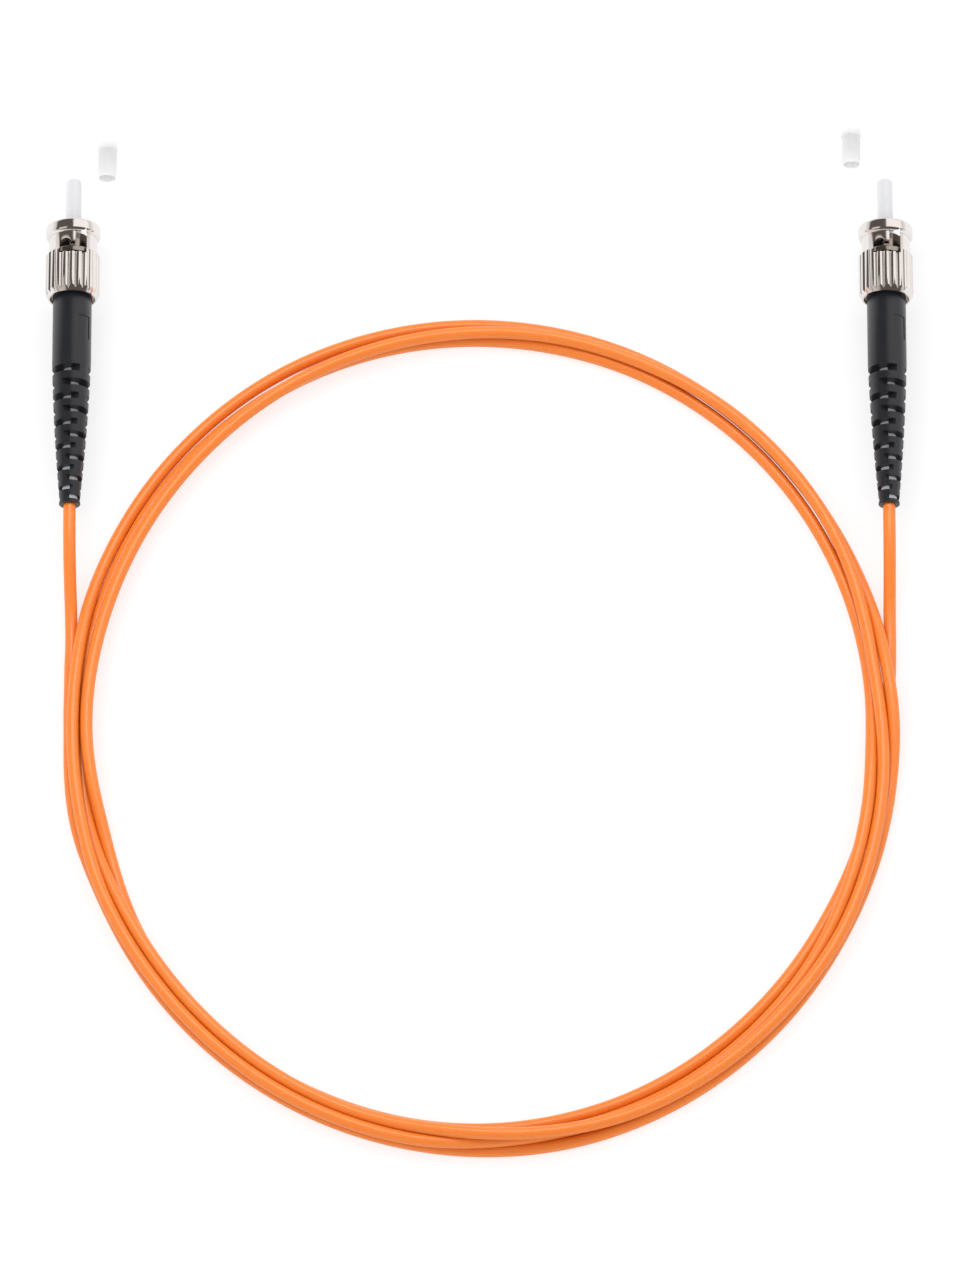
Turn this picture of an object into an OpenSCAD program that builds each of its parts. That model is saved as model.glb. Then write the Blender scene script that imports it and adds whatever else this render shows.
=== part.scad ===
// Fibre patch cord with a bayonet connector on each end, both dust caps taken off.
// Millimetres. +Y points out of the ferrules, +X to the right, +Z up from the table.
// Each connector is drawn along its own Z, from the boot's rear end to the ferrule's tip.

/* [Ferrule] */
// Diameter of the ceramic ferrule
ferrule_d = 2.5; // [2.3:0.05:2.7]
// How far the ferrule stands out of the nut's front
ferrule_reach = 8.3; // [6:0.1:10]
// Chamfer at the ferrule's tip
ferrule_chamfer = 0.35; // [0.1:0.05:0.5]
// Depth of the ferrule's rear end inside the barrel
ferrule_seat_len = 2.5; // [1.5:0.1:2.7]

/* [Coupling nut] */
// Diameter over the grip and the front ring
nut_d = 8.8; // [8.6:0.05:9.6]
// Overall length of the nut
nut_len = 12.7; // [12.4:0.1:13.5]
// Bore that slides over an adapter's barrel
nut_bore_d = 7.1; // [7:0.05:7.2]
// Diameter of the neck between grip and ring
neck_d = 7.75; // [7.6:0.05:8]
// Length of the front ring
ring_len = 2.3; // [1.8:0.1:2.6]
// Length of the neck
neck_len = 2.8; // [2.6:0.1:3]
// Edge radius of the front ring
ring_edge = 0.65; // [0.2:0.05:0.8]
// Number of rounded flutes on the grip
flute_count = 22; // [18:1:26]
// Radius of one flute
flute_r = 0.62; // [0.58:0.02:0.8]
// Chamfer length at the grip's rear end
grip_chamfer = 0.9; // [0.4:0.1:1.4]
// Depth of the rear pocket that takes the boot's end
pocket_depth = 1.7; // [1.6:0.1:2]
// Thickness of the inner shoulder that the spring pushes on
shoulder_t = 0.8; // [0.6:0.1:1]

/* [Bayonet slots] */
// Width of a slot, for an adapter's lug
slot_w = 2; // [1.8:0.05:2.1]
// Angle from a slot's entry to its catch
slot_turn = 37; // [34:1:44]
// How far a slot reaches back into the grip
slot_back = 0.9; // [0.5:0.1:1]
// Height of the slot's cross passage
passage_h = 1.9; // [1.7:0.05:2.1]
// How far the catch runs forward past the passage
catch_rise = 0.6; // [0.2:0.05:0.8]
// Angle of the catch, left of the top
catch_angle = -16; // [-20:1:-10]
// Depth of the lug's entry groove inside the ring
entry_groove = 0.5; // [0.4:0.05:0.6]

/* [Barrel and spring] */
// Diameter of the barrel's middle
barrel_d = 4.4; // [4.2:0.1:4.6]
// Thickness of the barrel's spring flange
flange_t = 0.8; // [0.6:0.1:1]
// Length of the barrel's nose in front of the flange
nose_len = 2.9; // [2.8:0.1:3.2]
// Diameter of the nose
nose_d = 4.8; // [4.4:0.1:5]
// Width of the locating key
key_w = 1.1; // [0.8:0.1:1.3]
// Length of the locating key
key_len = 2.2; // [1.6:0.1:2.6]
// Length of the ribbed crimp neck
crimp_neck_len = 6.6; // [5.5:0.1:7]
// Diameter of the crimp neck
crimp_neck_d = 3.4; // [3.2:0.05:3.5]
// Number of grooves round the crimp neck
crimp_grooves = 6; // [3:1:8]
// Length of the coil spring at rest
spring_len = 4.4; // [4:0.1:4.8]
// Wire diameter of the spring
wire_d = 0.45; // [0.35:0.05:0.5]
// Turns of the spring, closed ends included
spring_turns = 5; // [4:1:5]
// Thickness of the thrust washer
washer_t = 0.3; // [0.2:0.05:0.4]
// Thickness of the retaining clip
clip_t = 0.4; // [0.3:0.05:0.45]
// Outside diameter of the retaining clip
clip_d = 6; // [5.4:0.1:6.2]
// Opening of the retaining clip
clip_gap = 70; // [50:5:100]

/* [Boot] */
// Overall length of the boot
boot_len = 36.5; // [35:0.1:38]
// Depth of the boot's front end inside the nut
boot_entry = 0.7; // [0.5:0.1:0.9]
// Diameter of the boot's plain front
boot_d = 6.24; // [6:0.02:6.3]
// Diameter of the boot's rear end
boot_tail_d = 3.12; // [3:0.02:3.4]
// Length of the curved, slotted tail
boot_tail_len = 24.5; // [23.5:0.1:26]
// Number of slot levels
slot_levels = 12; // [8:1:12]
// Place of the front slot from the boot's rear end
front_slot = 22.8; // [21:0.1:23.2]
// Distance between the two front slot levels
front_pitch = 2.45; // [2.2:0.05:2.5]
// Distance between the two rear slot levels
rear_pitch = 1.52; // [1.4:0.02:1.6]
// Width of the front slot
front_slot_w = 1.2; // [0.8:0.05:1.3]
// Width of the rear slot
rear_slot_w = 0.72; // [0.5:0.02:0.8]
// Distance from the axis to the floor of a slot
slot_floor = 0.86; // [0.7:0.02:1]
// Length of the blank label recess
label_len = 3.9; // [2:0.1:5]
// Width of the blank label recess
label_w = 2.3; // [1.5:0.1:2.6]
// Depth of the blank label recess
label_depth = 0.1; // [0.05:0.01:0.15]

/* [Cable] */
// Diameter of the cable's jacket
cable_d = 2; // [1.9:0.05:2.2]
// Wall of the jacket
jacket_wall = 0.35; // [0.3:0.05:0.4]
// Diameter of the tight buffer round the fibre
buffer_d = 0.9; // [0.8:0.05:0.95]
// Diameter of the glass fibre
glass_d = 0.125; // [0.1:0.005:0.13]
// Wall of the crimp sleeve
crimp_wall = 0.3; // [0.2:0.05:0.32]
// Length of the sleeve's small end, crimped on the jacket
crimp_small_len = 5; // [3:0.5:5.5]
// Wall of the pale liner tube inside the boot
liner_wall = 0.2; // [0.15:0.01:0.22]

/* [Dust caps] */
// Length of a dust cap
cap_len = 6.4; // [6:0.1:8]
// Outside diameter of a cap's skirt
cap_d = 3; // [2.95:0.05:3.2]
// Diameter of a cap's head
cap_head_d = 3.3; // [3.2:0.05:3.6]
// Length of a cap's head
cap_head_len = 1.6; // [1:0.1:2]
// Clearance of a cap on the ferrule, on the radius
cap_fit = 0.02; // [0.01:0.005:0.03]
// Place of the caps, left and right of the middle
cap_x = 60; // [59:0.1:60.2]
// How much further forward the right cap lies than the left one
cap_stagger = 2.4; // [0:0.1:3]

/* [Lay on the table] */
// Distance between the two connectors
connector_pitch = 130.5; // [130:0.1:131]
// Overall length of connectors and caps, front to back
bench_len = 67.2; // [66:0.1:70]
// Width of the cord's coil
coil_w = 131.8; // [131:0.1:132.5]
// Length of the cord's coil, front to back
coil_l = 142; // [140:0.1:144]
// Width of the coil's bundle
bundle_w = 4.5; // [4.2:0.1:5]
// Height of the coil's bundle
bundle_h = 4.3; // [4.2:0.1:5]
// Middle of the coil, left to right
coil_x = 0.3; // [0:0.1:0.4]
// Middle of the coil, behind the middle of the connectors
coil_back = 71.5; // [70:0.5:74]

/* [Hidden] */

$fn = 64;
eps = 0.05;
// Gap between faces that slide or turn on each other
slide_gap = 0.1;
// Gap between parts that are fixed together
fixed_gap = 0.02;
// Gap between flat faces that run on each other
face_gap = 0.04;

// Stations along a connector, from the boot's rear end
nut_rear = boot_len - boot_entry;
nut_front = nut_rear + nut_len;
shoulder_rear = nut_rear + pocket_depth;
shoulder_front = shoulder_rear + shoulder_t;
washer_rear = shoulder_front + face_gap;
washer_front = washer_rear + washer_t;
flange_rear = washer_front + spring_len;
flange_front = flange_rear + flange_t;
barrel_front = flange_front + nose_len;
clip_front = shoulder_rear - face_gap;
clip_rear = clip_front - clip_t;
ring_rear = nut_front - ring_len;
grip_front = ring_rear - neck_len;
crimp_neck_front = boot_len + fixed_gap;
crimp_neck_rear = crimp_neck_front - crimp_neck_len;
ferrule_rear = barrel_front - ferrule_seat_len;
ferrule_tip = nut_front + ferrule_reach;
step_len = 0.8;
crimp_step = crimp_neck_rear - step_len;
crimp_rear = crimp_step - crimp_small_len;

// Radii
ferrule_r = ferrule_d / 2;
seat_r = ferrule_r - 0.2;
nut_r = nut_d / 2;
nut_bore_r = nut_bore_d / 2;
neck_r = neck_d / 2;
barrel_r = barrel_d / 2;
flange_r = nut_bore_r - slide_gap;
shoulder_hole_r = barrel_r + slide_gap;
boot_r = boot_d / 2;
pocket_r = boot_r + 0.5;
cable_r = cable_d / 2;
buffer_r = buffer_d / 2;
glass_r = glass_d / 2;
capillary_r = glass_r + 0.01;
buffer_bore_r = buffer_r + 0.05;
crimp_neck_r = crimp_neck_d / 2;
yarn_t = 0.12;
yarn_r = crimp_neck_r + fixed_gap + yarn_t;
crimp_in_r = yarn_r + fixed_gap;
crimp_out_r = crimp_in_r + crimp_wall;
crimp_small_r = cable_r + fixed_gap + crimp_wall;
liner_in_r = cable_r + fixed_gap;
liner_r = liner_in_r + liner_wall;
boot_lip = 0.5;
spring_r = (barrel_r + nut_bore_r) / 2;
wire_r = wire_d / 2;
clip_groove_r = barrel_r - 0.3;
key_top_r = nut_bore_r - 0.25;

// Places on the table
connector_x = connector_pitch / 2;
axis_z = nut_r;
boot_rear_y = -bench_len / 2;
cap_head_r = cap_head_d / 2;
right_cap_y = bench_len / 2;
left_cap_y = right_cap_y - cap_stagger;

// Route of the cord from each boot down to the table, where it meets the coil
left_route = [
    [-65.25, -33.6, 4.4], [-65.25, -37, 4.4], [-65.2, -41, 3.9],
    [-65.1, -45.5, 2.7], [-64.9, -50, 1.4], [-64.8, -54.5, 1]
];
right_route = [
    [65.25, -33.6, 4.4], [65.25, -37, 4.4], [65.25, -41, 3.9],
    [65.25, -45.5, 2.7], [65.2, -49.5, 1.4], [65.2, -53.5, 1]
];
tube_sides = 8;
stub_len = 16;
coil_sides = 96;

// ---- Placing ----

// Stands a piece drawn along Z on the connector's axis: side is -1 or 1
module on_connector(side) {
    translate([side * connector_x, boot_rear_y, axis_z]) rotate([-90, 0, 0]) children();
}

// Turns a piece drawn along +X to a clock angle, measured rightwards from the top
module at_clock(angle) {
    rotate([0, 0, angle - 90]) children();
}

// Cuts outwards along +X with an outline drawn as [across, along]
module radial_cut(from_r, to_r) {
    translate([from_r, 0, 0]) rotate([90, 0, 90]) linear_extrude(to_r - from_r) children();
}

module ring(r_out, r_in, z0, z1) {
    translate([0, 0, z0]) difference() {
        cylinder(r = r_out, h = z1 - z0);
        translate([0, 0, -eps]) cylinder(r = r_in, h = z1 - z0 + 2 * eps);
    }
}

// ---- Ferrule, fibre and barrel ----

// Ceramic ferrule with a domed, chamfered tip, a capillary and a rear funnel
module ferrule() {
    dome = 0.05;
    seat_end = barrel_front + eps;
    tip_r = ferrule_r - ferrule_chamfer;
    color("white") rotate_extrude() polygon([
        [buffer_bore_r, ferrule_rear], [seat_r, ferrule_rear], [seat_r, seat_end],
        [ferrule_r, seat_end], [ferrule_r, ferrule_tip - ferrule_chamfer - dome],
        [tip_r, ferrule_tip - dome], [tip_r / 2, ferrule_tip - dome / 4],
        [capillary_r, ferrule_tip], [capillary_r, ferrule_rear + 1]
    ]);
}

// Tight-buffered fibre, stripped to bare glass inside the ferrule
module fibre() {
    strip = ferrule_rear - 0.3;
    color("ivory") {
        cylinder(r = buffer_r, h = strip);
        translate([0, 0, strip]) cylinder(r = glass_r, h = ferrule_tip - strip);
    }
}

// Barrel: ribbed crimp neck, clip groove, spring flange, nose and locating key
module barrel() {
    groove_depth = 0.12;
    groove_pitch = crimp_neck_len / (crimp_grooves + 1);
    color("silver") difference() {
        union() {
            translate([0, 0, crimp_neck_rear]) cylinder(r = crimp_neck_r, h = crimp_neck_len + eps);
            translate([0, 0, crimp_neck_front])
                cylinder(r = barrel_r, h = flange_rear - crimp_neck_front + eps);
            translate([0, 0, flange_rear]) cylinder(r = flange_r, h = flange_t);
            translate([0, 0, flange_front - eps]) cylinder(d = nose_d, h = nose_len + eps);
            at_clock(0) translate([0, -key_w / 2, flange_front - eps])
                cube([key_top_r, key_w, key_len + eps]);
        }
        for (i = [1 : crimp_grooves])
            ring(crimp_neck_r + eps, crimp_neck_r - groove_depth,
                 crimp_neck_rear + i * groove_pitch - 0.15, crimp_neck_rear + i * groove_pitch + 0.15);
        ring(barrel_r + eps, clip_groove_r, clip_rear - face_gap, clip_front + face_gap);
        translate([0, 0, crimp_neck_rear - eps])
            cylinder(r = buffer_bore_r, h = barrel_front - crimp_neck_rear);
        translate([0, 0, ferrule_rear - 0.1])
            cylinder(r = seat_r + fixed_gap, h = barrel_front - ferrule_rear + 1);
    }
}

// ---- Coupling nut ----

// Outline of the grip: a row of rounded flutes with sharp valleys between them
module grip_outline() {
    flute_pitch_r = nut_r - flute_r;
    circle(r = flute_pitch_r + flute_r / 4);
    for (i = [0 : flute_count - 1])
        rotate(i * 360 / flute_count + 90) translate([flute_pitch_r, 0]) circle(r = flute_r, $fn = 32);
}

// Half section of a collar with rounded outer edges
module rounded_half(r, len, edge) {
    square([r - edge, len]);
    translate([0, edge]) square([r, len - 2 * edge]);
    for (z = [edge, len - edge]) translate([r - edge, z]) circle(r = edge, $fn = 32);
}

module nut_grip() {
    front_chamfer = 0.3;
    intersection() {
        translate([0, 0, nut_rear]) linear_extrude(grip_front - nut_rear) grip_outline();
        rotate_extrude() polygon([
            [0, nut_rear], [neck_r, nut_rear], [nut_r + eps, nut_rear + grip_chamfer],
            [nut_r + eps, grip_front - front_chamfer], [nut_r - front_chamfer, grip_front + eps],
            [0, grip_front + eps]
        ]);
    }
}

// J-shaped bayonet slot, drawn as [across, along]: entry, cross passage and catch
module bayonet_slot() {
    entry = neck_r * sin(slot_turn + catch_angle);
    catch = neck_r * sin(catch_angle);
    entry_w = slot_w * 0.9;
    rear = grip_front - slot_back;
    rise = passage_h + catch_rise - slot_w / 2;
    polygon([
        [catch - slot_w / 2, rear], [entry + entry_w / 2, rear],
        [entry + entry_w / 2, ring_rear + eps], [entry - entry_w / 2, ring_rear + eps],
        [entry - entry_w / 2, rear + passage_h], [catch, rear + passage_h],
        [catch, rear + rise], [catch - slot_w / 2, rear + rise]
    ]);
    translate([catch, rear + rise]) circle(d = slot_w);
}

// Groove inside the ring, a little narrower than the slot, through which a lug reaches it
module entry_groove_cut() {
    entry = neck_r * sin(slot_turn + catch_angle);
    groove_w = slot_w * 0.9 - 2 * eps;
    translate([0, entry - groove_w / 2, ring_rear - eps])
        cube([nut_bore_r + entry_groove - 0.25, groove_w, ring_len + 2 * eps]);
}

module coupling_nut() {
    mouth = 0.25;
    color("lightgray") difference() {
        union() {
            nut_grip();
            translate([0, 0, grip_front - eps]) cylinder(r = neck_r, h = neck_len + 2 * eps);
            translate([0, 0, ring_rear]) rotate_extrude() intersection() {
                rounded_half(nut_r, ring_len, ring_edge);
                square([nut_r + eps, ring_len]);
            }
        }
        translate([0, 0, nut_rear - eps]) cylinder(r = pocket_r, h = pocket_depth + eps);
        translate([0, 0, nut_rear]) cylinder(r = shoulder_hole_r, h = nut_len);
        translate([0, 0, shoulder_front]) cylinder(r = nut_bore_r, h = nut_len);
        translate([0, 0, nut_front - mouth])
            cylinder(r1 = nut_bore_r, r2 = nut_bore_r + mouth + eps, h = mouth + eps);
        for (turn = [0, 180]) at_clock(turn) {
            radial_cut(2.3, nut_r + 1) bayonet_slot();
            entry_groove_cut();
        }
    }
}

// ---- Spring, washer and clip ----

// Axial place of the spring's wire at turn t, with one closed turn at each end
function spring_z(t, turns, low, high) =
    let (rise = wire_d, open = high - low - 2 * rise)
    t <= 1 ? low + rise * t
    : t >= turns - 1 ? high - rise * (turns - t)
    : low + rise + open * (t - 1) / (turns - 2);

module spring() {
    steps = 16;
    sides = 8;
    low = washer_front + wire_r + fixed_gap;
    high = flange_rear - wire_r - fixed_gap;
    rings = spring_turns * steps;
    points = [
        for (i = [0 : rings], k = [0 : sides - 1])
            let (a = 360 * i / steps, b = 360 * k / sides,
                 r = spring_r + wire_r * cos(b), z = spring_z(i / steps, spring_turns, low, high))
            [r * cos(a), r * sin(a), z + wire_r * sin(b)]
    ];
    color("gray") polyhedron(points, tube_faces(rings + 1, sides), convexity = 10);
}

module thrust_washer() {
    color("silver") ring(flange_r, shoulder_hole_r, washer_rear, washer_front);
}

// Open spring-steel ring snapped into the barrel's groove
module retaining_clip() {
    color("dimgray") translate([0, 0, clip_rear]) rotate([0, 0, 90 + clip_gap / 2])
        rotate_extrude(angle = 360 - clip_gap)
            translate([clip_groove_r + fixed_gap, 0])
                square([clip_d / 2 - clip_groove_r - fixed_gap, clip_t]);
}

// ---- Crimp, cable and liner ----

// Stepped metal sleeve: large end over the yarn, small end on the jacket
module crimp_sleeve() {
    small_in = cable_r + fixed_gap;
    color("gainsboro") rotate_extrude() polygon([
        [small_in, crimp_rear], [crimp_small_r, crimp_rear], [crimp_small_r, crimp_step],
        [crimp_out_r, crimp_neck_rear], [crimp_out_r, crimp_neck_front],
        [crimp_in_r, crimp_neck_front], [crimp_in_r, crimp_neck_rear], [small_in, crimp_step]
    ]);
}

// Aramid yarn: round the buffer in the cable, then folded back over the crimp neck
module yarn() {
    core_in = buffer_r + fixed_gap;
    core_out = cable_r - jacket_wall - fixed_gap;
    gap = 0.08;
    color("khaki") rotate_extrude() polygon([
        [core_in, 0], [core_out, 0], [core_out, crimp_step],
        [yarn_r, crimp_neck_rear + gap], [yarn_r, crimp_neck_front - 0.4],
        [yarn_r - yarn_t, crimp_neck_front - 0.4], [yarn_r - yarn_t, crimp_neck_rear - gap],
        [core_in, crimp_neck_rear - gap - 0.05]
    ]);
}

module jacket() {
    color("darkorange") ring(cable_r, cable_r - jacket_wall, 0, crimp_step - 0.2);
}

// Pale tube that keeps the cable straight inside the boot
module liner() {
    color("whitesmoke") ring(liner_r, liner_in_r, boot_lip, crimp_rear - fixed_gap);
}

// ---- Boot ----

// Outside radius of the boot at a distance from its rear end: a curve that flattens forwards
function boot_radius(s) =
    let (u = min(s / boot_tail_len, 1))
    boot_tail_d / 2 + (boot_d - boot_tail_d) / 2 * (1.53 * u - 0.53 * pow(u, 2));

// Places and widths of the slot levels, closer and narrower to the rear
function slot_place(i) =
    let (n = slot_levels - 2, change = (front_pitch - rear_pitch) / n)
    front_slot - i * front_pitch + change * i * (i - 1) / 2;
function slot_width(i) = front_slot_w + (rear_slot_w - front_slot_w) * i / (slot_levels - 1);

module boot_body() {
    steps = 14;
    front_edge = 0.25;
    end_ring = 0.14;
    curve = [for (i = [1 : steps]) let (s = boot_tail_len * i / steps) [boot_radius(s), s]];
    rotate_extrude() polygon(concat(
        [[0, 0], [boot_tail_d / 2, 0], [boot_tail_d / 2 + end_ring, 0.12],
         [boot_tail_d / 2 + end_ring, 0.38], [boot_radius(boot_lip), boot_lip]],
        curve,
        [[boot_r, boot_len - front_edge], [boot_r - front_edge, boot_len], [0, boot_len]]
    ));
}

// One slot level: two opposite cuts that leave two webs beside the liner
module slot_pair(width) {
    for (flip = [0, 180]) rotate([0, 0, flip])
        translate([slot_floor, -boot_r - 1, -width / 2]) cube([boot_r, 2 * boot_r + 2, width]);
}

module boot_bores() {
    liner_gap = liner_r + fixed_gap;
    translate([0, 0, -1]) cylinder(r = cable_r + slide_gap / 2, h = boot_len);
    translate([0, 0, boot_lip]) cylinder(r = liner_gap, h = boot_len);
    translate([0, 0, crimp_rear - fixed_gap]) cylinder(r = crimp_small_r + fixed_gap, h = boot_len);
    translate([0, 0, crimp_step - fixed_gap])
        cylinder(r1 = crimp_small_r + fixed_gap, r2 = crimp_out_r + fixed_gap, h = step_len);
    translate([0, 0, crimp_neck_rear - fixed_gap])
        cylinder(r = crimp_out_r + fixed_gap, h = boot_len);
}

module boot() {
    label_mid = boot_tail_len + 5.6;
    label_clock = 43;
    color("#2b2b2e") difference() {
        boot_body();
        boot_bores();
        for (i = [0 : slot_levels - 1])
            translate([0, 0, slot_place(i)]) at_clock(i % 2 == 0 ? -45 : 45) slot_pair(slot_width(i));
        at_clock(label_clock) intersection() {
            ring(boot_r + 1, boot_r - label_depth, label_mid - label_len / 2, label_mid + label_len / 2);
            translate([0, -label_w / 2, 0]) cube([boot_r + 1, label_w, boot_len]);
        }
    }
}

// ---- Dust caps ----

// Pull-off cap lying on its side, mouth towards the connectors
module dust_cap(side, front_y) {
    edge = 0.2;
    end_t = 0.9;
    bore_r = ferrule_r + cap_fit;
    skirt_r = cap_d / 2;
    color("white", 0.8) translate([side * cap_x, front_y - cap_len, cap_head_r]) rotate([-90, 0, 0])
        rotate_extrude() polygon([
            [bore_r, 0], [skirt_r, 0], [skirt_r, cap_len - cap_head_len],
            [cap_head_r, cap_len - cap_head_len + 0.1], [cap_head_r, cap_len - edge],
            [cap_head_r - edge, cap_len], [0, cap_len], [0, cap_len - end_t],
            [bore_r, cap_len - end_t]
        ]);
}

// ---- Cord ----

// Faces of a closed tube whose points come ring by ring
function tube_faces(rings, sides) = concat(
    [[for (k = [0 : sides - 1]) k]],
    [for (i = [0 : rings - 2], k = [0 : sides - 1])
        let (a = i * sides + k, b = i * sides + (k + 1) % sides) [a, a + sides, b + sides, b]],
    [[for (k = [sides - 1 : -1 : 0]) (rings - 1) * sides + k]]
);

// Plain tube along a route that runs mostly backwards
module route_tube(route) {
    last = len(route) - 1;
    points = [
        for (i = [0 : last])
            let (ahead = route[min(i + 1, last)] - route[max(i - 1, 0)],
                 along = i == 0 || i == last ? [0, -1, 0] : ahead / norm(ahead),
                 up = cross([1, 0, 0], along) * -1)
            for (k = [0 : tube_sides - 1])
                let (a = 360 * k / tube_sides + 180 / tube_sides)
                route[i] + cable_r * (cos(a) * [1, 0, 0] + sin(a) * up)
    ];
    color("darkorange") polyhedron(points, tube_faces(last + 1, tube_sides));
}

function oval(w, l) = [
    for (i = [0 : coil_sides - 1])
        let (a = 360 * i / coil_sides) [w / 2 * cos(a), l / 2 * sin(a)]
];

// Short straight length that leads from a tail into the coil
module coil_stub(point) {
    translate(point) rotate([90, 0, 0]) cylinder(r = cable_r, h = stub_len);
}

module cord_coil() {
    color("darkorange") {
        translate([coil_x, -coil_back, 0]) linear_extrude(bundle_h) difference() {
            polygon(oval(coil_w, coil_l));
            polygon(oval(coil_w - 2 * bundle_w, coil_l - 2 * bundle_w));
        }
        coil_stub(left_route[len(left_route) - 1]);
        coil_stub(right_route[len(right_route) - 1]);
    }
}

// ---- Output ----

on_connector(-1) ferrule();  // left_ferrule
on_connector(1) ferrule();  // right_ferrule
on_connector(-1) barrel();  // left_barrel
on_connector(1) barrel();  // right_barrel
on_connector(-1) coupling_nut();  // left_coupling_nut
on_connector(1) coupling_nut();  // right_coupling_nut
on_connector(-1) spring();  // left_spring
on_connector(1) spring();  // right_spring
on_connector(-1) thrust_washer();  // left_thrust_washer
on_connector(1) thrust_washer();  // right_thrust_washer
on_connector(-1) retaining_clip();  // left_retaining_clip
on_connector(1) retaining_clip();  // right_retaining_clip
on_connector(-1) crimp_sleeve();  // left_crimp_sleeve
on_connector(1) crimp_sleeve();  // right_crimp_sleeve
on_connector(-1) yarn();  // left_yarn
on_connector(1) yarn();  // right_yarn
on_connector(-1) fibre();  // left_fibre
on_connector(1) fibre();  // right_fibre
on_connector(-1) jacket();  // left_jacket
on_connector(1) jacket();  // right_jacket
on_connector(-1) liner();  // left_liner
on_connector(1) liner();  // right_liner
on_connector(-1) boot();  // left_boot
on_connector(1) boot();  // right_boot
dust_cap(-1, left_cap_y);  // left_dust_cap
dust_cap(1, right_cap_y);  // right_dust_cap
route_tube(left_route);  // left_tail
route_tube(right_route);  // right_tail
cord_coil();
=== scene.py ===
# %% [markdown]
# # A fibre patch cord with a bayonet connector on each end
#
# Two identical connectors stand at the ends of one orange cord that lies in a
# round coil. Each connector has a white ceramic ferrule, a nickel-plated
# coupling nut on a spring, and a black slotted boot. Two milky dust caps lie
# in front of the ferrules. The CAD model fixes every size and place, and this
# lesson dresses it piece by piece.

# %% Load the frame
import math

import bmesh
import bpy
import numpy as np
from mathutils import Matrix, Vector


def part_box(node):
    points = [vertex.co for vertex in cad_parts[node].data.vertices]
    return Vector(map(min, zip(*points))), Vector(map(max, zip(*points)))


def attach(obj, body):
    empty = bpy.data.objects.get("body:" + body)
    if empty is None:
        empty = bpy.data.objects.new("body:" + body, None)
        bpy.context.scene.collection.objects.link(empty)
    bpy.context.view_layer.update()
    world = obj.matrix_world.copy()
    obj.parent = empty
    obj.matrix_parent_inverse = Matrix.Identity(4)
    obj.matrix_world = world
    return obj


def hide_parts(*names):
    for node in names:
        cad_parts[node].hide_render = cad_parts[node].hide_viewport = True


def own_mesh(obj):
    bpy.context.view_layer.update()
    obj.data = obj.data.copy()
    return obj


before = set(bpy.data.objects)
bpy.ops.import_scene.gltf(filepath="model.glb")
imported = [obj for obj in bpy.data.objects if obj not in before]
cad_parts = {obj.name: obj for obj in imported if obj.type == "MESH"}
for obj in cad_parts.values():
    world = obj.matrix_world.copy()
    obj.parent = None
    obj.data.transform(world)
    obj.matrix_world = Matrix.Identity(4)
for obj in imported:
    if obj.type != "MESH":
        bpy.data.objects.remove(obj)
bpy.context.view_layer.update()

# %% [markdown]
# ## Units and places
#
# The frame is in metres, while a connector is easiest to think of in
# millimetres. Each connector piece is drawn along its own Z axis, from the
# boot's rear end to the ferrule's tip, and is then laid down at its place on
# the table. The places are read from the boxes of the CAD nodes, so that a
# piece can't drift away from the solid that it stands for.

# %% Places of the two connectors
MM = 0.001
SIDES = ("left", "right")


def lying_place(axis_node, rear_node):
    """The matrix that lays a piece drawn in mm along Z on one node's axis.

    The piece starts at the rear end of the other node.
    """
    low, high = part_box(axis_node)
    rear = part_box(rear_node)[0].y
    place = Matrix.Translation(((low.x + high.x) / 2, rear, (low.z + high.z) / 2))
    return place @ Matrix.Rotation(-math.pi / 2, 4, "X") @ Matrix.Scale(MM, 4)


PLACES = {side: lying_place(f"{side}_ferrule", f"{side}_boot") for side in SIDES}
for side, place in PLACES.items():
    print(side, "connector starts at mm", [round(1000 * v, 2) for v in place.translation])

# %% [markdown]
# ## The camera
#
# The camera looks from the cord's side towards the ferrules, from high above
# the table. A lens could stand close and wide, or far off and narrow. The far
# one keeps both connectors nearly parallel, so it is used here.

# %% Camera
CAMERA_ELEVATION = math.radians(67.6)
CAMERA_DISTANCE = 1.9403
CAMERA_TARGET = Vector((0.0001, -0.055, 0))
FIELD_OF_VIEW = math.radians(6)
SENSOR_WIDTH = 36
NEAREST, FARTHEST = 0.05, 20

camera_data = bpy.data.cameras.new("camera")
camera_data.sensor_width = SENSOR_WIDTH
camera_data.lens = SENSOR_WIDTH / 2 / math.tan(FIELD_OF_VIEW / 2)
camera_data.clip_start, camera_data.clip_end = NEAREST, FARTHEST
camera = bpy.data.objects.new("camera", camera_data)
back = Vector((0, -math.cos(CAMERA_ELEVATION), math.sin(CAMERA_ELEVATION)))
camera.location = CAMERA_TARGET + CAMERA_DISTANCE * back
camera.rotation_euler = (math.pi / 2 - CAMERA_ELEVATION, 0, 0)
bpy.context.scene.collection.objects.link(camera)
bpy.context.scene.camera = camera
bpy.context.scene.view_settings.view_transform = "Standard"
print("lens", round(camera_data.lens, 1), "mm")

# %% [markdown]
# ## Finishes
#
# Every finish is a small tree of shader nodes on one Principled shader. Noise
# on Object coordinates gives the slight unevenness of a real surface: a
# little colour, a little gloss and a fine bump. One helper adds nodes and
# links, a second one builds the tree, so that each finish below is one call.

# %% Node helpers
def add_node(tree, kind, inputs=None, **settings):
    """Add a shader node, change its settings, and fill or link its sockets."""
    made = tree.nodes.new(kind)
    for key, value in settings.items():
        setattr(made, key, value)
    for socket, value in (inputs or {}).items():
        if isinstance(value, bpy.types.NodeSocket):
            tree.links.new(value, made.inputs[socket])
        else:
            made.inputs[socket].default_value = value
    return made


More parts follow.
